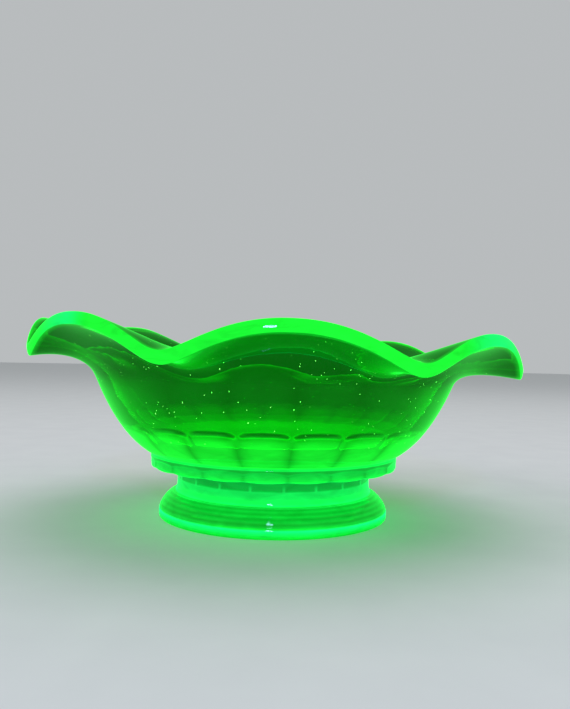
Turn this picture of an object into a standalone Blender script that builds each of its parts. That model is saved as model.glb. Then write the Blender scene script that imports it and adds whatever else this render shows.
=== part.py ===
"""Footed art-glass dish with a crimped rim, assembled hot from four gathers of uranium glass.

From the table upwards the glasses are the foot, the stem, the merese (the flat wafer that a
glassmaker puts between a stem and a bowl) and the bowl. Every joint between them is a flat fused
face, drawn here with the small clearance FUSE_GAP so that each glass stays a solid of its own.

Frame: metres, +Z up, origin on the table under the centre of the dish. -Y is the front.
"""

import math

import bmesh
import bpy
import numpy as np

# ---- Driving dimensions ------------------------------------------------------------------------
FUSE_GAP = 0.0003  # clearance across each fused joint
TURN_STEPS = 60  # facets round the turned glasses
BOWL_STEPS = 120  # facets round the bowl, a multiple of the crimps and of the panels

# Foot: a disc with a sloping shoulder turned in fine ridges, and a hollow in its underside.
FOOT_SPREAD = 0.0081  # how far the foot stands out past the end of the stem
FOOT_EDGE_HEIGHT = 0.0040
FOOT_HEIGHT = 0.0130
FOOT_FULLNESS = 1.5  # exponent of the shoulder's superellipse: 1 is a cone, 2 a quarter round
FOOT_RIDGE_COUNT = 4
FOOT_RIDGE_DEPTH = 0.0003
FOOT_RING_WIDTH = 0.0146  # ring round the hollow, on which the dish stands
FOOT_HOLLOW_DEPTH = 0.0040
FOOT_EDGE_ROUNDING = 0.0010

# Stem: a short waisted drum.
STEM_WAIST_RADIUS = 0.0495
STEM_FLARE = 0.0010  # how far its two ends stand out past the waist
STEM_HEIGHT = 0.0121

# Merese: a wafer wider than the stem, whose edge shows as a collar.
MERESE_OVERHANG = 0.0128  # how far it stands out past the end of the stem
MERESE_THICKNESS = 0.0064
MERESE_EDGE_ROUNDING = 0.0010

# Bowl: wall, shoulder where the wall turns out into the lip, and the crimped rim.
FLOOR_THICKNESS = 0.0070
WALL_THICKNESS = 0.0056
WALL_START_RISE = math.radians(30)
WALL_SPREAD = 0.0274  # from the edge of the merese out to the shoulder
SHOULDER_CLIMB = 0.0366  # from the underside of the bowl up to the shoulder
SHOULDER_RISE = math.radians(67)
CRIMP_COUNT = 8
CRIMP_TURN = math.radians(5.5)  # the front crest is pressed this far right of straight ahead
CRIMP_UNEVENNESS = math.radians(3.8)  # hand crimping: crests shift by up to this much, so that
CRIMP_WIDEST = math.radians(27)  # they are widest at this azimuth, and narrowest opposite it
CREST_FULLNESS = 2.16  # exponent of the arch of a crest
DIP_ROUNDING = 0.17  # radius that rounds the pinch between two crests, as a share of half a crimp
CREST_REACH = 0.0298  # from the shoulder out to the rim's lower edge, at a crest and in a dip
DIP_REACH = 0.0306
CREST_CLIMB = 0.0216  # from the shoulder up to that edge
DIP_CLIMB = 0.0077
CREST_LIP_RISE = math.radians(18)
DIP_LIP_RISE = math.radians(-10)
RIM_LEAN = 0.0036  # hand shaping left the rim this much higher on its left (-X) side
RIM_BULGE = 0.0021  # fire polishing rounds the rim's edge outwards by this much
PANEL_COUNT = 20  # shallow optic panels pressed into the inside of the lower wall
PANEL_DEPTH = 0.0007

# Rows of points along the bowl's outline, from its underside over the rim to its floor.
WALL_ROWS = 7
LIP_ROWS = 8
EDGE_ROWS = 3
FLOOR_ROWS = 4

# ---- Places worked out from them ---------------------------------------------------------------
STEM_END_RADIUS = STEM_WAIST_RADIUS + STEM_FLARE
FOOT_RADIUS = STEM_END_RADIUS + FOOT_SPREAD
FOOT_HOLLOW_RADIUS = FOOT_RADIUS - FOOT_RING_WIDTH
MERESE_RADIUS = STEM_END_RADIUS + MERESE_OVERHANG
SHOULDER_RADIUS = MERESE_RADIUS + WALL_SPREAD
STEM_BOTTOM = FOOT_HEIGHT + FUSE_GAP
STEM_TOP = STEM_BOTTOM + STEM_HEIGHT
MERESE_BOTTOM = STEM_TOP + FUSE_GAP
MERESE_TOP = MERESE_BOTTOM + MERESE_THICKNESS
BOWL_BOTTOM = MERESE_TOP + FUSE_GAP
SHOULDER_HEIGHT = BOWL_BOTTOM + SHOULDER_CLIMB


def clear_scene():
    for obj in list(bpy.data.objects):
        bpy.data.objects.remove(obj, do_unlink=True)


def uranium_glass(name, colour):
    """Clear pressed glass whose uranium makes it glow green under ultraviolet light."""
    material = bpy.data.materials.new(name)
    material.use_nodes = True
    shader = material.node_tree.nodes["Principled BSDF"]
    shader.inputs["Base Color"].default_value = (*colour, 1.0)
    shader.inputs["Roughness"].default_value = 0.05
    shader.inputs["Metallic"].default_value = 0.0
    shader.inputs["IOR"].default_value = 1.51
    shader.inputs["Transmission Weight"].default_value = 0.85
    return material


def shade_round(mesh, sharp_angle):
    mesh.shade_smooth()
    mesh.set_sharp_from_angle(angle=sharp_angle)


def turned(name, outline, material):
    """A solid turned about Z. The outline runs from the axis at the top down to the axis below."""
    mesh = bpy.data.meshes.new(name)
    points = [(radius, 0.0, height) for radius, height in outline]
    mesh.from_pydata(points, [(i, i + 1) for i in range(len(points) - 1)], [])
    obj = bpy.data.objects.new(name, mesh)
    bpy.context.collection.objects.link(obj)
    obj.data.materials.append(material)
    screw = obj.modifiers.new("turn", "SCREW")
    screw.axis = "Z"
    screw.angle = 2 * math.pi
    screw.steps = TURN_STEPS
    screw.render_steps = TURN_STEPS
    screw.use_merge_vertices = True
    screw.merge_threshold = 1e-5
    screw.use_smooth_shade = True
    return obj


def rounded_corner(radius, height, rounding, up, steps=3):
    """Points of a quarter circle that rounds an outer corner, in the order of a turned outline."""
    centre_height = height - rounding if up else height + rounding
    angles = [math.pi / 2 * i / steps for i in range(steps + 1)]
    if up:
        angles.reverse()
    sign = 1 if up else -1
    return [
        (radius - rounding + rounding * math.cos(a), centre_height + sign * rounding * math.sin(a))
        for a in angles
    ]


def build_foot(material):
    """Flat face for the stem, a ridged shoulder that is a superellipse, and a hollow underneath."""
    outline = [(0.0, FOOT_HEIGHT)]
    steps = 4 * FOOT_RIDGE_COUNT
    for step in range(steps + 1):
        angle = math.pi / 2 * step / steps
        out, up = math.sin(angle), math.cos(angle)
        ridge = FOOT_RIDGE_DEPTH * math.sin(2 * angle * FOOT_RIDGE_COUNT) ** 2
        radius = STEM_END_RADIUS + FOOT_SPREAD * out ** (2 / FOOT_FULLNESS)
        rise = (FOOT_HEIGHT - FOOT_EDGE_HEIGHT) * max(up, 0.0) ** (2 / FOOT_FULLNESS)
        outline.append((radius - ridge * out, FOOT_EDGE_HEIGHT + rise - ridge * up))
    outline += rounded_corner(FOOT_RADIUS, 0.0, FOOT_EDGE_ROUNDING, up=False)
    outline += [
        (FOOT_HOLLOW_RADIUS, 0.0),
        (FOOT_HOLLOW_RADIUS - 0.5 * FOOT_HOLLOW_DEPTH, 0.8 * FOOT_HOLLOW_DEPTH),
        (0.0, FOOT_HOLLOW_DEPTH),
    ]
    return turned("foot", outline, material)


def build_stem(material):
    """A drum that is narrowest at mid height and flares by STEM_FLARE towards both ends."""
    rows = 6
    outline = [(0.0, STEM_TOP)]
    for row in range(rows + 1):
        across = 1 - 2 * row / rows
        radius = STEM_WAIST_RADIUS + STEM_FLARE * across**4
        outline.append((radius, STEM_BOTTOM + STEM_HEIGHT * (1 + across) / 2))
    outline.append((0.0, STEM_BOTTOM))
    return turned("stem", outline, material)


def build_merese(material):
    outline = [(0.0, MERESE_TOP)]
    outline += rounded_corner(MERESE_RADIUS, MERESE_TOP, MERESE_EDGE_ROUNDING, up=True)
    outline += rounded_corner(MERESE_RADIUS, MERESE_BOTTOM, MERESE_EDGE_ROUNDING, up=False)
    outline.append((0.0, MERESE_BOTTOM))
    return turned("merese", outline, material)


def bezier(start, start_handle, end_handle, end, count):
    """Points and unit tangents of a cubic curve; each argument is a (radius, height) array."""
    t = np.linspace(0.0, 1.0, count)[:, None, None]
    s = 1.0 - t
    points = s**3 * start + 3 * s * s * t * start_handle + 3 * s * t * t * end_handle + t**3 * end
    slope = s * s * (start_handle - start) + 2 * s * t * (end_handle - start_handle)
    slope = slope + t * t * (end - end_handle)
    return points, slope / np.linalg.norm(slope, axis=2, keepdims=True)


def heading(rise):
    """Unit (radius, height) direction that climbs at this angle, for one angle or an array."""
    rise = np.atleast_1d(rise)
    return np.stack([np.cos(rise), np.sin(rise)], axis=-1)


def crest_share(around):
    """How far up a crimp each azimuth is: 1 on a crest, 0 in the dip between two crests.

    Crests are wide arches, power curves of exponent CREST_FULLNESS. They meet in narrow dips,
    which a hyperbola of radius DIP_ROUNDING rounds.
    """
    turned_by = around - CRIMP_TURN - CRIMP_UNEVENNESS * np.sin(around - CRIMP_WIDEST)
    from_dip = 2 * np.abs((turned_by * CRIMP_COUNT / (2 * np.pi)) % 1.0 - 0.5)
    rounded = np.hypot(from_dip, DIP_ROUNDING) - DIP_ROUNDING
    rounded /= np.hypot(1.0, DIP_ROUNDING) - DIP_ROUNDING
    return 1.0 - (1.0 - rounded) ** CREST_FULLNESS


def bowl_rows(around):
    """The bowl's outline at every angle: (row, angle, (radius, height)) from underside to floor.

    Each meridian is two cubic curves, wall and lip. The lip's end moves between a crest's place
    and a dip's with crest_share. The inner surface is the outer one moved inwards by the wall's
    thickness, and half an ellipse joins them round the rim.
    """
    crest = crest_share(around)
    rim_radius = SHOULDER_RADIUS + DIP_REACH + (CREST_REACH - DIP_REACH) * crest
    rim_height = SHOULDER_HEIGHT + DIP_CLIMB + (CREST_CLIMB - DIP_CLIMB) * crest
    rim_height = rim_height - RIM_LEAN * np.sin(around)
    lip_rise = DIP_LIP_RISE + (CREST_LIP_RISE - DIP_LIP_RISE) * crest

    ones = np.ones((len(around), 1))
    wall_start = ones * (MERESE_RADIUS, BOWL_BOTTOM)
    shoulder = ones * (SHOULDER_RADIUS, SHOULDER_HEIGHT)
    rim = np.stack([rim_radius, rim_height], axis=-1)
    wall_reach = np.linalg.norm(shoulder - wall_start, axis=1, keepdims=True) / 3
    lip_reach = np.linalg.norm(rim - shoulder, axis=1, keepdims=True) / 3
    wall, wall_way = bezier(
        wall_start,
        wall_start + wall_reach * heading(WALL_START_RISE),
        shoulder - wall_reach * heading(SHOULDER_RISE),
        shoulder,
        WALL_ROWS,
    )
    lip, lip_way = bezier(
        shoulder,
        shoulder + 0.65 * lip_reach * heading(SHOULDER_RISE),
        rim - 1.8 * lip_reach * heading(lip_rise),
        rim,
        LIP_ROWS,
    )
    outer = np.concatenate([wall, lip[1:]])
    way = np.concatenate([wall_way, lip_way[1:]])
    inward = np.stack([-way[..., 1], way[..., 0]], axis=-1)
    inner = outer + WALL_THICKNESS * inward

    fade = np.clip(np.linspace(1.6, -1.2, len(outer)), 0.0, 1.0)[:, None]
    inner[..., 0] -= PANEL_DEPTH * fade * (0.5 + 0.5 * np.cos(PANEL_COUNT * around))

    across = np.linspace(-np.pi / 2, np.pi / 2, EDGE_ROWS + 2)[1:-1, None, None]
    rim_edge = 0.5 * (outer[-1] + inner[-1]) + RIM_BULGE * np.cos(across) * way[-1]
    rim_edge = rim_edge + 0.5 * WALL_THICKNESS * np.sin(across) * inward[-1]
    floor_height = BOWL_BOTTOM + FLOOR_THICKNESS
    corner = inner[2]
    shrink = np.linspace(1.0, 0.0, FLOOR_ROWS + 1)[1:-1, None]
    floor_radius = corner[None, :, 0] * shrink
    floor = floor_height + (corner[None, :, 1] - floor_height) * shrink**3
    floor = np.stack([floor_radius, floor], axis=-1)
    return np.concatenate([outer, rim_edge, inner[:1:-1], floor])


def build_bowl(material):
    around = np.linspace(0.0, 2 * np.pi, BOWL_STEPS, endpoint=False)
    rows = bowl_rows(around)
    x = rows[..., 0] * np.sin(around)
    y = -rows[..., 0] * np.cos(around)
    bm = bmesh.new()
    rings = []
    for ring in np.stack([x, y, rows[..., 1]], axis=-1):
        rings.append([bm.verts.new(point) for point in ring.tolist()])
    for low, high in zip(rings[:-1], rings[1:]):
        for i in range(len(around)):
            j = (i + 1) % len(around)
            bm.faces.new((low[i], low[j], high[j], high[i]))
    underside = bm.verts.new((0.0, 0.0, BOWL_BOTTOM))
    floor = bm.verts.new((0.0, 0.0, BOWL_BOTTOM + FLOOR_THICKNESS))
    for i in range(len(around)):
        j = (i + 1) % len(around)
        bm.faces.new((underside, rings[0][j], rings[0][i]))
        bm.faces.new((floor, rings[-1][i], rings[-1][j]))
    bmesh.ops.recalc_face_normals(bm, faces=bm.faces)
    mesh = bpy.data.meshes.new("bowl")
    bm.to_mesh(mesh)
    bm.free()
    shade_round(mesh, math.radians(40))
    obj = bpy.data.objects.new("bowl", mesh)
    bpy.context.collection.objects.link(obj)
    obj.data.materials.append(material)
    return obj


clear_scene()
build_foot(uranium_glass("foot glass", (0.03, 0.80, 0.12)))
build_stem(uranium_glass("stem glass", (0.02, 0.70, 0.10)))
build_merese(uranium_glass("merese glass", (0.03, 0.78, 0.14)))
build_bowl(uranium_glass("bowl glass", (0.02, 0.55, 0.06)))
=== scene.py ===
"""A footed dish of uranium glass with a crimped rim, standing on a pale table."""

import math

import bpy
import numpy as np
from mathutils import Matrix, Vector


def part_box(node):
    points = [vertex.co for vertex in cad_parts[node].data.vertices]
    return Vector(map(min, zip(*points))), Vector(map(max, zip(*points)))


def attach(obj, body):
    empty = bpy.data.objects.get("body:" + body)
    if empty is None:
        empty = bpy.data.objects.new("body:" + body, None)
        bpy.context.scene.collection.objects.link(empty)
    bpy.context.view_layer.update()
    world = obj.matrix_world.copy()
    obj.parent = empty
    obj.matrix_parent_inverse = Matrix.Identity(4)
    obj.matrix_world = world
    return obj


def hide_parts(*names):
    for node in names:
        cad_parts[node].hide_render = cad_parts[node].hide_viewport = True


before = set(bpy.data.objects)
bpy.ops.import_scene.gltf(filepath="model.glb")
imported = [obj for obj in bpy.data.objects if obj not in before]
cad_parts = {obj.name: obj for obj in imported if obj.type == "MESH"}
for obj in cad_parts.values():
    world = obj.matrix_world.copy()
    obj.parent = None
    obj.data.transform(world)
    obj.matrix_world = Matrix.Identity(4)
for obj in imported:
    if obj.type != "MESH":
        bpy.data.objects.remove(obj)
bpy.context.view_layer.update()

# ---- Camera and table ----------------------------------------------------------------------------
# The dish is seen from the front, a little right of centre and level with its rim, by a hand-held
# camera tilted a touch downwards. The table is a wide, pale, matt sheet.
CAMERA_DISTANCE = 0.382
CAMERA_SIDE = 0.0048
CAMERA_HEIGHT = 0.0810
CAMERA_TILT = math.radians(-0.3)
CAMERA_ROLL = math.radians(-1.2)
LENS_MM = 37.0
TABLE_RADIUS = 6.0


def linear(hex_colour):
    """The linear colour of an sRGB hex value: ((c + 0.055) / 1.055) ^ 2.4, or c / 12.92 when dark."""
    channels = np.array([int(hex_colour[i : i + 2], 16) for i in (1, 3, 5)]) / 255
    bright = ((channels + 0.055) / 1.055) ** 2.4
    return (*np.where(channels > 0.04045, bright, channels / 12.92), 1.0)


def add_node(tree, kind, inputs=(), **settings):
    """A node of this kind with its settings, and its inputs set to values or linked to sockets."""
    node = tree.nodes.new(kind)
    for name, value in settings.items():
        setattr(node, name, value)
    for name, value in dict(inputs).items():
        if isinstance(value, bpy.types.NodeSocket):
            tree.links.new(value, node.inputs[name])
        else:
            node.inputs[name].default_value = value
    return node


def new_material(name):
    """An empty node material and its output node."""
    material = bpy.data.materials.new(name)
    material.use_nodes = True
    material.node_tree.nodes.clear()
    return material, add_node(material.node_tree, "ShaderNodeOutputMaterial")


def mesh_object(name, points, faces, **numbers):
    """A smooth mesh object, with a named number for each point."""
    mesh = bpy.data.meshes.new(name)
    mesh.from_pydata(points.tolist(), [], faces)
    mesh.shade_smooth()
    mesh.set_sharp_from_angle(angle=math.radians(35))
    for label, values in numbers.items():
        stored = mesh.attributes.new(label, "FLOAT", "POINT")
        stored.data.foreach_set("value", np.asarray(values, np.float32))
    obj = bpy.data.objects.new(name, mesh)
    bpy.context.scene.collection.objects.link(obj)
    return obj


camera = bpy.data.objects.new("camera", bpy.data.cameras.new("camera"))
bpy.context.scene.collection.objects.link(camera)
camera.data.lens = LENS_MM
camera.data.clip_start = 0.01
camera.location = (CAMERA_SIDE, -CAMERA_DISTANCE, CAMERA_HEIGHT)
camera.rotation_euler = (math.pi / 2 - CAMERA_TILT, CAMERA_ROLL, 0.0)
bpy.context.scene.camera = camera

angles = np.linspace(0, 2 * np.pi, 96, endpoint=False)
disc = np.stack([np.sin(angles), -np.cos(angles), 0 * angles], axis=-1) * TABLE_RADIUS
table = mesh_object("table", disc, [list(range(len(disc)))])
table_paint, out = new_material("matt pale laminate")
tree = table_paint.node_tree
grain = add_node(tree, "ShaderNodeTexNoise", {"Scale": 400.0, "Detail": 4.0})
shade = add_node(
    tree,
    "ShaderNodeMixRGB",
    {"Fac": grain.outputs["Fac"], "Color1": linear("#D9DBDC"), "Color2": linear("#E2E4E4")},
)
# Mirrored in the glass or seen through it the table is dim, so that the glass's own light shows.
path = add_node(tree, "ShaderNodeLightPath")
dim = add_node(
    tree,
    "ShaderNodeMath",
    {0: path.outputs["Is Glossy Ray"], 1: path.outputs["Is Transmission Ray"]},
    operation="MAXIMUM",
)
seen = add_node(
    tree,
    "ShaderNodeMixRGB",
    {"Fac": dim.outputs[0], "Color1": shade.outputs[0], "Color2": linear("#5A5F60")},
)
sheet = add_node(
    tree,
    "ShaderNodeBsdfPrincipled",
    {"Base Color": seen.outputs[0], "Roughness": 0.9, "Specular IOR Level": 0.1},
)
tree.links.new(sheet.outputs[0], out.inputs["Surface"])
table.data.materials.append(table_paint)

# ---- The bowl ------------------------------------------------------------------------------------
# Pressed uranium glass, flared while hot and crimped round a former, then fire-polished, which
# rounds the rim. Optic panels are pressed into the lower wall, and it is full of fine seeds.
BOWL_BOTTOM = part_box("bowl")[0].z
MERESE_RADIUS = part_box("merese")[1].x
FLOOR_THICKNESS = 0.0070
BASE_WALL = 0.0065  # the wall thins upwards from this
LIP_WALL = 0.0056  # to this
SHOULDER_RADIUS = 0.0907
SHOULDER_HEIGHT = 0.0366  # this and the rim's heights are above the bowl's underside
WALL_START_RISE = math.radians(30)
SHOULDER_RISE = math.radians(67)
CRIMPS = 8
CRIMP_TURN = math.radians(5.5)
CRIMP_UNEVENNESS, CRIMP_WIDEST = math.radians(3.8), math.radians(27)
CREST_FULLNESS = 2.16
DIP_ROUNDING = 0.17
CREST_RADIUS, DIP_RADIUS = 0.1211, 0.1219
CREST_HEIGHT, DIP_HEIGHT = 0.0581, 0.0441
CREST_RISE, DIP_RISE = math.radians(18), math.radians(-10)
RIM_LEAN = 0.0036
RIM_BULGE = 0.0010
EDGE_FULLNESS = 2.6  # exponent of the rounded edge: 2 is an ellipse, more is squarer
PANELS = 20
PANEL_TURN = math.radians(6.5)
PANEL_DEPTH = 0.0007
ARCH_TOP, ARCH_DROP = 0.47, 0.035  # shares of the wall: a panel's top, and how far its ends drop
CORNER_ROW = 8  # row of the inner wall where the floor begins
FLOOR_TURN_UP = 8  # power of the radius by which the floor turns up
LIP_GLOW_REACH = 0.0010
SEED_COUNT = 480
# Each seed shines with a painted glint, emission on its shell.
SEED_GLINT = 3.0
BOWL_COLUMNS = 560


def ring_faces(rows, columns):
    """Quads between the rows of a (row, column) grid that closes round its columns, and fans from
    its first and last row to two poles, the points after the grid's."""
    index = np.arange(rows * columns).reshape(rows, columns)
    right = np.roll(index, -1, axis=1)
    quads = np.stack([index[:-1], right[:-1], right[1:], index[1:]], axis=-1).reshape(-1, 4)
    first = np.stack([np.full(columns, index.size), right[0], index[0]], axis=-1)
    last = np.stack([np.full(columns, index.size + 1), index[-1], right[-1]], axis=-1)
    return quads.tolist() + first.tolist() + last.tolist()


def bezier(start, start_handle, end_handle, end, count):
    """Points and unit tangents of a cubic curve from start to end through two handles."""
    t = np.linspace(0.0, 1.0, count)[:, None, None]
    s = 1.0 - t
    points = s**3 * start + 3 * s * s * t * start_handle + 3 * s * t * t * end_handle + t**3 * end
    slope = s * s * (start_handle - start) + 2 * s * t * (end_handle - start_handle)
    slope = slope + t * t * (end - end_handle)
    return points, slope / np.linalg.norm(slope, axis=2, keepdims=True)


def heading(rise):
    """Unit (radius, height) direction that climbs at this angle."""
    rise = np.atleast_1d(rise)
    return np.stack([np.cos(rise), np.sin(rise)], axis=-1)


def smooth(x):
    """0 below 0, 1 above 1, and 3 x^2 - 2 x^3 between."""
    x = np.clip(x, 0.0, 1.0)
    return x * x * (3 - 2 * x)


def across_panel(around):
    """Distance from the middle of a panel, 0, to its border, 1."""
    return np.abs(2 * (((around - PANEL_TURN) * PANELS / (2 * np.pi)) % 1.0) - 1)


def crest_share(around):
    """1 on a crest of the rim and 0 in a dip.

    Crests are wide arches, 1 - (1 - d) ^ CREST_FULLNESS of the distance d from the dip, which a
    hyperbola rounds.
    """
    phase = around - CRIMP_TURN - CRIMP_UNEVENNESS * np.sin(around - CRIMP_WIDEST)
    from_dip = 2 * np.abs((phase * CRIMPS / (2 * np.pi)) % 1.0 - 0.5)
    rounded = np.hypot(from_dip, DIP_ROUNDING) - DIP_ROUNDING
    rounded /= np.hypot(1.0, DIP_ROUNDING) - DIP_ROUNDING
    return 1 - (1 - rounded) ** CREST_FULLNESS


def outer_wall(around, wall_rows, lip_rows):
    """The bowl's outside, (row, angle, (radius, height)), and its unit tangents.

    A meridian is two cubic curves, wall and lip. The lip's end moves between the crest's place
    and the dip's with crest_share.
    """
    crest = crest_share(around)
    rim_radius = DIP_RADIUS + (CREST_RADIUS - DIP_RADIUS) * crest
    rim_height = DIP_HEIGHT + (CREST_HEIGHT - DIP_HEIGHT) * crest
    rim_height = BOWL_BOTTOM + rim_height - RIM_LEAN * np.sin(around)
    rise = DIP_RISE + (CREST_RISE - DIP_RISE) * crest
    ones = np.ones((len(around), 1))
    start = ones * (MERESE_RADIUS, BOWL_BOTTOM)
    shoulder = ones * (SHOULDER_RADIUS, BOWL_BOTTOM + SHOULDER_HEIGHT)
    rim = np.stack([rim_radius, rim_height], axis=-1)
    wall_reach = np.linalg.norm(shoulder - start, axis=1, keepdims=True) / 3
    lip_reach = np.linalg.norm(rim - shoulder, axis=1, keepdims=True) / 3
    wall, wall_way = bezier(
        start,
        start + wall_reach * heading(WALL_START_RISE),
        shoulder - wall_reach * heading(SHOULDER_RISE),
        shoulder,
        wall_rows,
    )
    lip, lip_way = bezier(
        shoulder,
        shoulder + 0.65 * lip_reach * heading(SHOULDER_RISE),
        rim - 1.8 * lip_reach * heading(rise),
        rim,
        lip_rows,
    )
    return np.concatenate([wall, lip[1:]]), np.concatenate([wall_way, lip_way[1:]])


def bowl_surface(around, wall_rows=34, lip_rows=28, edge_rows=9, floor_rows=14):
    """Points (row, angle, xyz) of the whole closed surface, and its glow, coolness and outline.

    The inside is the outside moved inwards by the wall's thickness, less the panels, which end in
    arches. The edge between them is half of a superellipse, and the floor is flat and turns up to
    the wall with the eighth power of the radius. The glow is painted light: emission strongest along
    the edge, fading in 1 mm on both faces of the lip; below the panels' arches the thick base has a
    painted glow and a painted bright line, and under the dips are tongues of painted refraction.
    The outline is a power, low where the wall's bright outline is wide.
    """
    outer, way = outer_wall(around, wall_rows, lip_rows)
    inward = np.stack([-way[..., 1], way[..., 0]], axis=-1)
    along = np.concatenate([np.linspace(0, 1, wall_rows), np.linspace(1, 2, lip_rows)[1:]])[:, None]
    wall = BASE_WALL + (LIP_WALL - BASE_WALL) * np.clip(along, 0.0, 1.0)
    inner = outer + wall[..., None] * inward
    middle_out = across_panel(around)
    arch = ARCH_TOP - ARCH_DROP * middle_out**2
    in_panel = smooth((arch - along) / 0.05) * (1 - middle_out**10)
    inner[..., 0] += PANEL_DEPTH * in_panel

    sweep = np.linspace(-np.pi / 2, np.pi / 2, edge_rows + 2)[1:-1, None, None]
    across = np.sign(np.sin(sweep)) * np.abs(np.sin(sweep)) ** (2 / EDGE_FULLNESS)
    bulge = np.abs(np.cos(sweep)) ** (2 / EDGE_FULLNESS)
    edge = 0.5 * (outer[-1] + inner[-1]) + 0.5 * LIP_WALL * across * inward[-1]
    edge = edge + RIM_BULGE * bulge * way[-1]

    floor_height = BOWL_BOTTOM + FLOOR_THICKNESS
    corner = inner[CORNER_ROW]
    shrink = 1 - np.linspace(0.0, 1.0, floor_rows + 1)[1:-1, None] ** 1.7
    floor = floor_height + (corner[:, 1] - floor_height) * shrink**FLOOR_TURN_UP
    floor = np.stack([corner[:, 0] * shrink, floor], axis=-1)
    down = slice(None, CORNER_ROW - 1, -1)
    rows = np.concatenate([outer, edge, inner[down], floor])
    x = rows[..., 0] * np.sin(around)
    y = -rows[..., 0] * np.cos(around)

    # Painted light: the lip's glow, a glow below the panels' arches with a bright line along them, and
    # tongues of painted refraction under the dips.
    to_rim = np.linalg.norm(outer - outer[-1], axis=-1)
    lip_glow = smooth(1 - to_rim / LIP_GLOW_REACH)
    base = smooth((arch + 0.01 - along) / 0.03)
    line = np.exp(-(((along - arch - 0.02) / 0.012) ** 2))
    panel_light = 0.20 + 0.36 * (1 - middle_out**4) * smooth((arch - along) / 0.1)
    band = 0.03 * (1 - middle_out**2) * smooth((1.3 - along) / 0.3)
    outer_glow = 0.03 + band + base * panel_light + 0.22 * line + 0.3 * lip_glow
    tongue = smooth(1 - crest_share(around) / 0.6) * np.exp(-(((along - 1.45) / 0.2) ** 2))
    inner_glow = 0.01 + 0.03 * base + 0.45 * tongue + 0.4 * lip_glow
    ones = np.ones((1, len(around)))
    edge_ones, floor_ones = np.ones((edge_rows, 1)) * ones, np.ones_like(floor[..., 0])
    glow = np.concatenate([outer_glow, edge_ones, inner_glow[down], 0.04 * floor_ones])
    side = 0.2 + 0.4 * smooth((np.abs(np.sin(around)) - 0.6) / 0.1) * crest_share(around) ** 4
    outer_cool, inner_cool = np.full_like(outer_glow, 0.2), 0.2 + 0.3 * base[down]
    cool = np.concatenate([outer_cool, side * edge_ones, inner_cool, 0.5 * floor_ones])
    wall_outline = (4.0 + 4.0 * smooth((along - 0.85) / 0.35)) * ones
    outline = np.concatenate([wall_outline, 8.0 * edge_ones, wall_outline[down], 4.0 * floor_ones])
    return np.stack([x, y, rows[..., 1]], axis=-1), glow, cool, outline


def seed_bubbles(count):
    """Shells (bubble, point, xyz) of tiny air bubbles inside the wall, drawn out along it.

    Each shell is an ellipsoid, (sin v cos u, sin v sin u, cos v), 0.16 to 0.34 mm across and up to
    2.6 times as long.
    """
    draw = np.random.default_rng(11)
    around = draw.uniform(0, 2 * np.pi, count)
    outer, way = outer_wall(around, 60, 60)
    row = draw.integers(18, 112, count)
    pick = np.arange(count)
    place, along = outer[row, pick], way[row, pick]
    inward = np.stack([-along[:, 1], along[:, 0]], axis=-1)
    place = place + inward * draw.uniform(0.3, 0.7, count)[:, None] * LIP_WALL
    u, v = np.meshgrid(np.linspace(0, 2 * np.pi, 7)[:-1], np.linspace(0.25, np.pi - 0.25, 4))
    shell = np.stack([np.sin(v) * np.cos(u), np.sin(v) * np.sin(u), np.cos(v)], axis=-1)
    size = draw.uniform(0.00008, 0.00017, count)[:, None, None]
    stretch = draw.choice([1.0, 1.3, 2.6], count, p=[0.5, 0.3, 0.2])[:, None, None]
    radial = place[:, None, None, 0] + size * (
        shell[..., 0] * inward[:, None, None, 0] + shell[..., 2] * stretch * along[:, None, None, 0]
    )
    z = place[:, None, None, 1] + size * (
        shell[..., 0] * inward[:, None, None, 1] + shell[..., 2] * stretch * along[:, None, None, 1]
    )
    sideways = size * shell[..., 1]
    sin, cos = np.sin(around)[:, None, None], np.cos(around)[:, None, None]
    return np.stack([radial * sin + sideways * cos, -radial * cos + sideways * sin, z], axis=-1)


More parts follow.
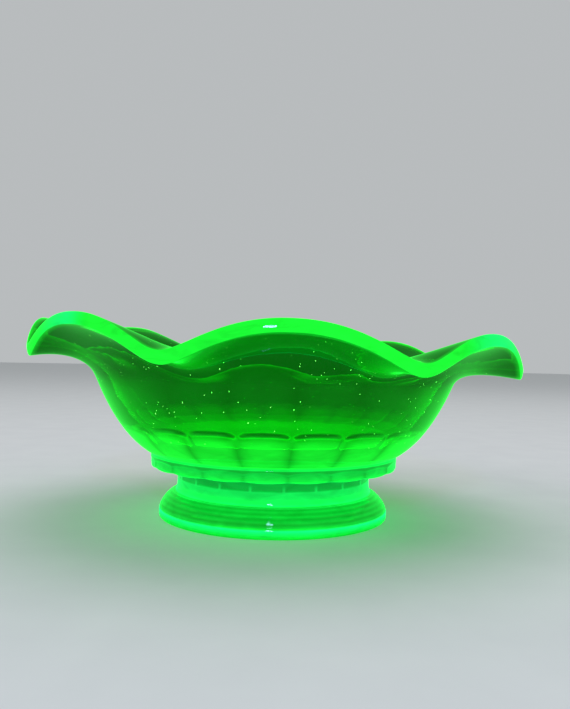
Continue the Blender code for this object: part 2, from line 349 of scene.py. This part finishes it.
def uranium_glass(name, streak_size):
    """Clear green uranium glass: IOR 1.51, fire-polished. It soaks up red and blue light within a
    few millimetres, and glows green under ultraviolet, most where its trapped light gets out. No
    ultraviolet lamp lights the scene: the glow is painted light, emission through the glass's
    volume and a painted map of glow on its surface."""
    material, out = new_material(name)
    tree = material.node_tree
    place = add_node(tree, "ShaderNodeTexCoord")
    # Striae, threads of slightly different glass, drawn out sideways by the press.
    stretch = add_node(
        tree,
        "ShaderNodeMapping",
        {"Vector": place.outputs["Object"], "Scale": (1.0, 1.0, 3.0)},
    )
    striae = add_node(
        tree,
        "ShaderNodeTexNoise",
        {
            "Vector": stretch.outputs[0],
            "Scale": 1 / streak_size,
            "Detail": 3.0,
            "Roughness": 0.55,
            "Distortion": 0.8,
        },
    )
    tint = add_node(
        tree,
        "ShaderNodeMixRGB",
        {
            "Fac": striae.outputs["Fac"],
            "Color1": linear("#78F07A"),
            "Color2": linear("#A0F5A0"),
        },
    )
    # The mould leaves a soft ripple about 6 mm long.
    ripple = add_node(
        tree,
        "ShaderNodeTexNoise",
        {"Vector": place.outputs["Object"], "Scale": 1 / 0.006, "Detail": 1.0},
    )
    bump = add_node(
        tree, "ShaderNodeBump", {"Height": ripple.outputs["Fac"], "Strength": 0.08, "Distance": 0.0004}
    )
    # Painted light: the glow number maps how strongly the surface is painted to shine.
    glow = add_node(tree, "ShaderNodeAttribute", attribute_name="glow")
    # The painted light's colour: from a seed's painted glint, rosy so that it comes out pale through
    # the green glass round it, through neon green to the bluer green of thick glass.
    cool = add_node(tree, "ShaderNodeAttribute", attribute_name="cool")
    hue = add_node(tree, "ShaderNodeValToRGB", {"Fac": cool.outputs["Fac"]})
    ramp = hue.color_ramp.elements
    ramp[0].color, ramp[1].color = linear("#FFC8C8"), linear("#0AFA96")
    ramp.new(0.2).color = linear("#14F534")
    drift = add_node(
        tree,
        "ShaderNodeMapRange",
        {"Value": striae.outputs["Fac"], "From Min": 0.3, "From Max": 0.7, "To Min": 0.8, "To Max": 1.15},
    )
    # Seen along the surface, the light that runs inside the wall comes out as a bright outline; here it
    # is a painted highlight, emission that grows where the surface is seen edge-on.
    grazing = add_node(tree, "ShaderNodeLayerWeight", {"Blend": 0.5})
    width = add_node(tree, "ShaderNodeAttribute", attribute_name="outline")
    outline = add_node(
        tree, "ShaderNodeMath", {0: grazing.outputs["Facing"], 1: width.outputs["Fac"]}, operation="POWER"
    )
    surface = add_node(
        tree, "ShaderNodeMath", {0: glow.outputs["Fac"], 1: drift.outputs[0]}, operation="MULTIPLY"
    )
    strength = add_node(
        tree,
        "ShaderNodeMath",
        {0: outline.outputs[0], 1: 1.4, 2: surface.outputs[0]},
        operation="MULTIPLY_ADD",
    )
    body = add_node(
        tree,
        "ShaderNodeBsdfPrincipled",
        {
            "Base Color": tint.outputs[0],
            "Roughness": 0.015,
            "IOR": 1.51,
            "Specular IOR Level": 0.2,
            "Transmission Weight": 1.0,
            "Emission Color": hue.outputs[0],
            "Emission Strength": strength.outputs[0],
            "Normal": bump.outputs[0],
        },
    )
    soak = add_node(
        tree, "ShaderNodeVolumeAbsorption", {"Color": (0.02, 0.81, 0.15, 1.0), "Density": 600.0}
    )
    # Painted glow through the whole glass, standing in for its fluorescence under ultraviolet.
    lit = add_node(tree, "ShaderNodeEmission", {"Color": linear("#00FF20"), "Strength": 14.0})
    both = add_node(tree, "ShaderNodeAddShader", {0: soak.outputs[0], 1: lit.outputs[0]})
    tree.links.new(body.outputs[0], out.inputs["Surface"])
    tree.links.new(both.outputs[0], out.inputs["Volume"])
    return material


around = np.linspace(0, 2 * np.pi, BOWL_COLUMNS, endpoint=False)
points, glow, cool, outline = bowl_surface(around)
shells = seed_bubbles(SEED_COUNT)
poles = np.stack([shells[:, 0].mean(axis=1), shells[:, -1].mean(axis=1)], axis=1)
shell_points = np.concatenate([shells.reshape(SEED_COUNT, -1, 3), poles], axis=1)
wall_count, shell_count = points[..., 0].size + 2, shell_points.shape[1]
faces = ring_faces(*points.shape[:2])
shell_faces = ring_faces(*shells.shape[1:3])
for seed in range(SEED_COUNT):
    first = wall_count + seed * shell_count
    faces += [[first + corner for corner in face] for face in shell_faces]
bowl = mesh_object(
    "bowl_glass",
    np.concatenate(
        [
            points.reshape(-1, 3),
            [(0, 0, BOWL_BOTTOM), (0, 0, BOWL_BOTTOM + FLOOR_THICKNESS)],
            shell_points.reshape(-1, 3),
        ]
    ),
    faces,
    glow=np.concatenate([glow.ravel(), [0.02, 0.04], np.full(SEED_COUNT * shell_count, SEED_GLINT)]),
    cool=np.concatenate([cool.ravel(), [0.5, 0.5], np.zeros(SEED_COUNT * shell_count)]),
    outline=np.concatenate([outline.ravel(), [4.0, 4.0], np.full(SEED_COUNT * shell_count, 8.0)]),
)
bowl.data.materials.append(uranium_glass("uranium glass, pressed and crimped", 0.014))
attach(bowl, "root")
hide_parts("bowl")

# ---- The merese ----------------------------------------------------------------------------------
# The wafer between the stem and the bowl, pressed in the same mould: its edge carries the panels,
# each closed by an arch, and its lower rim hangs in scallops.
low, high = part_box("merese")
MERESE_ROUNDING = 0.0010
MERESE_PANEL_DEPTH = 0.00035
SCALLOP = 0.0005
TURNED_COLUMNS = 480
TURNED_OUTLINE = 5.0  # as the bowl's outline


def arc(centre, size, start, stop, steps):
    """Points of an ellipse's arc about a centre, angles in degrees from +radius towards +height."""
    a = np.radians(np.linspace(start, stop, steps))
    return np.stack([centre[0] + size[0] * np.cos(a), centre[1] + size[1] * np.sin(a)], axis=-1)


def turned_piece(name, radius, height, glow, cool, streak_size):
    """A closed solid whose (row, angle) radius and height run from under its middle to above it."""
    x, y = radius * np.sin(around), -radius * np.cos(around)
    points = np.stack([x, y, height], axis=-1).reshape(-1, 3)
    ends = [(0, 0, height[0].mean()), (0, 0, height[-1].mean())]
    obj = mesh_object(
        name,
        np.concatenate([points, ends]),
        ring_faces(*radius.shape),
        glow=np.concatenate([glow.ravel(), [glow[0, 0], glow[-1, 0]]]),
        cool=np.concatenate([cool.ravel(), [cool[0, 0], cool[-1, 0]]]),
        outline=np.full(radius.size + 2, TURNED_OUTLINE),
    )
    obj.data.materials.append(uranium_glass("uranium glass, " + name.split("_")[0], streak_size))
    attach(obj, "root")
    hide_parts(name.split("_")[0])
    return obj


around = np.linspace(0, 2 * np.pi, TURNED_COLUMNS, endpoint=False)
out_panel = across_panel(around)
flat = np.linspace(low.z + MERESE_ROUNDING, high.z - MERESE_ROUNDING, 14)[1:-1]
outline = np.concatenate(
    [
        [(0.8 * high.x, low.z)],
        arc((high.x - MERESE_ROUNDING, low.z + MERESE_ROUNDING), [MERESE_ROUNDING] * 2, -90, 0, 8),
        np.stack([np.full(len(flat), high.x), flat], axis=-1),
        arc((high.x - MERESE_ROUNDING, high.z - MERESE_ROUNDING), [MERESE_ROUNDING] * 2, 0, 90, 8),
    ]
)
row_r, row_z = outline[:, :1], outline[:, 1:]
up = (row_z - low.z) / (high.z - low.z)
arch = 0.74 - 0.16 * out_panel**2
in_panel = smooth((arch - up) / 0.12) * smooth(up / 0.12) * (1 - out_panel**12)
at_edge = smooth((row_r / high.x - 0.9) / 0.08)
radius = row_r - MERESE_PANEL_DEPTH * in_panel * at_edge
height = row_z + SCALLOP * out_panel**2 * smooth((0.35 - up) / 0.35) * at_edge
# Painted glow on the edge, with painted bright lines along its top and bottom and along the panels'
# arches.
line = np.exp(-(((up - 0.93) / 0.05) ** 2)) + 0.7 * np.exp(-(((up - 0.04) / 0.05) ** 2))
arch_line = np.exp(-(((up - arch) / 0.05) ** 2))
glow = 0.16 + at_edge * (0.22 + 0.26 * in_panel + 0.7 * line + 0.25 * arch_line)
turned_piece("merese_glass", radius, height, glow, 0.35 + 0 * glow, 0.012)

# ---- The stem ------------------------------------------------------------------------------------
# A short waisted drum. Its lower half is smooth, with a painted bright glow; above, shallow flutes
# rise to the merese, with painted bright lines between them.
low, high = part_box("stem")
STEM_FLARE = 0.0010
FLUTE_DEPTH = 0.0004
up = np.linspace(0, 1, 44)[:, None]
middle_out = 2 * up - 1
flute = smooth((up - 0.50 - 0.05 * out_panel**2) / 0.1) * (1 - out_panel**8) * smooth((1 - up) / 0.08)
radius = high.x - STEM_FLARE * (1 - middle_out**4) - FLUTE_DEPTH * flute
height = low.z + (high.z - low.z) * up + 0 * out_panel
# Painted glow: bright on the smooth lower half, with painted bright lines between the flutes.
cusp = smooth((out_panel - 0.86) / 0.14) * smooth((0.82 - up) / 0.25)
glow = 0.34 + 0.42 * smooth((0.56 - up) / 0.06) + 0.4 * cusp * smooth((up - 0.5) / 0.05)
turned_piece("stem_glass", radius, height, glow, 0.45 + 0 * glow, 0.016)

# ---- The foot ------------------------------------------------------------------------------------
# A disc whose shoulder slopes as a superellipse of exponent 1.5 and is turned in fine ridges. Its
# underside is ground flat round a shallow hollow.
low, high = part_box("foot")
FOOT_EDGE_HEIGHT = 0.0040
FOOT_FULLNESS = 1.5
FOOT_ROUNDING = 0.0010
RIDGES, RIDGE_DEPTH = 6, 0.00013
HOLLOW_RADIUS, HOLLOW_DEPTH = 0.0440, 0.0040
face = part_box("stem")[1].x
turn = np.linspace(0, 1, 90)
rise = np.sin(np.pi / 2 * turn) ** (2 / FOOT_FULLNESS)
reach = np.cos(np.pi / 2 * turn).clip(0) ** (2 / FOOT_FULLNESS)
ridge = np.sin(np.pi * RIDGES * turn) ** 2
shoulder = np.stack(
    [
        face + (high.x - face) * reach - RIDGE_DEPTH * ridge * np.cos(np.pi / 2 * turn),
        FOOT_EDGE_HEIGHT + (high.z - FOOT_EDGE_HEIGHT) * rise - RIDGE_DEPTH * ridge * turn,
    ],
    axis=-1,
)
outline = np.concatenate(
    [
        [(0.5 * HOLLOW_RADIUS, HOLLOW_DEPTH), (0.95 * HOLLOW_RADIUS, 0.8 * HOLLOW_DEPTH)],
        [(HOLLOW_RADIUS, 0.0)],
        arc((high.x - FOOT_ROUNDING, FOOT_ROUNDING), [FOOT_ROUNDING] * 2, -90, 0, 6),
        shoulder,
    ]
)
radius = outline[:, :1] + 0 * around
height = outline[:, 1:] + 0 * around
# Painted light: a glow on the hollow underside, painted shade in the ridges' grooves, and a painted
# bright line round the edge.
glow = np.concatenate([np.full(9, 0.5), 0.34 + 0.16 * (1 - ridge)])[:, None]
glow = glow + 0.8 * np.exp(-(((height - FOOT_EDGE_HEIGHT) / 0.0007) ** 2)) * (radius > 0.97 * high.x)
turned_piece("foot_glass", radius, height, glow, 0.3 + 0.4 * smooth(glow - 0.5), 0.010)

# ---- Light ---------------------------------------------------------------------------------------
# A pale room, two wide soft boxes that the glass doesn't mirror, and a small cool lamp that it does.
world = bpy.data.worlds.new("room")
world.use_nodes = True
tree = world.node_tree
tree.nodes.clear()
# The glass stands in a dim room, so that its own light shows, in front of a pale backdrop.
room = add_node(tree, "ShaderNodeBackground", {"Color": linear("#DCE1E6"), "Strength": 0.10})
backdrop = add_node(tree, "ShaderNodeBackground", {"Color": linear("#DEE2E4"), "Strength": 0.66})
path = add_node(tree, "ShaderNodeLightPath")
matt = add_node(
    tree,
    "ShaderNodeMath",
    {0: path.outputs["Is Camera Ray"], 1: path.outputs["Is Diffuse Ray"]},
    operation="MAXIMUM",
)
mixed = add_node(
    tree, "ShaderNodeMixShader", {0: matt.outputs[0], 1: room.outputs[0], 2: backdrop.outputs[0]}
)
out = add_node(tree, "ShaderNodeOutputWorld", {"Surface": mixed.outputs[0]})
bpy.context.scene.world = world


def soft_box(name, place, size, power, colour="#FFFFFF", reflected=False):
    """A square area light that faces the dish, and whether the glass mirrors it."""
    light = bpy.data.objects.new(name, bpy.data.lights.new(name, "AREA"))
    bpy.context.scene.collection.objects.link(light)
    light.data.size = size
    light.data.energy = power
    light.data.color = linear(colour)[:3]
    light.location = place
    light.visible_glossy = reflected
    aim = np.array([0.0, 0.0, 0.06]) - np.array(place)
    light.rotation_euler = (
        math.acos(-aim[2] / np.linalg.norm(aim)),
        0.0,
        math.atan2(aim[1], aim[0]) - math.pi / 2,
    )


soft_box("overhead", (0.3, 0.2, 1.6), 1.6, 9.0)
soft_box("left", (-1.3, -0.6, 1.1), 0.7, 4.0)
soft_box("lamp", (-0.05, -1.1, 0.65), 0.12, 1.6, "#A0B4FF", True)
bpy.context.scene.view_settings.view_transform = "Standard"
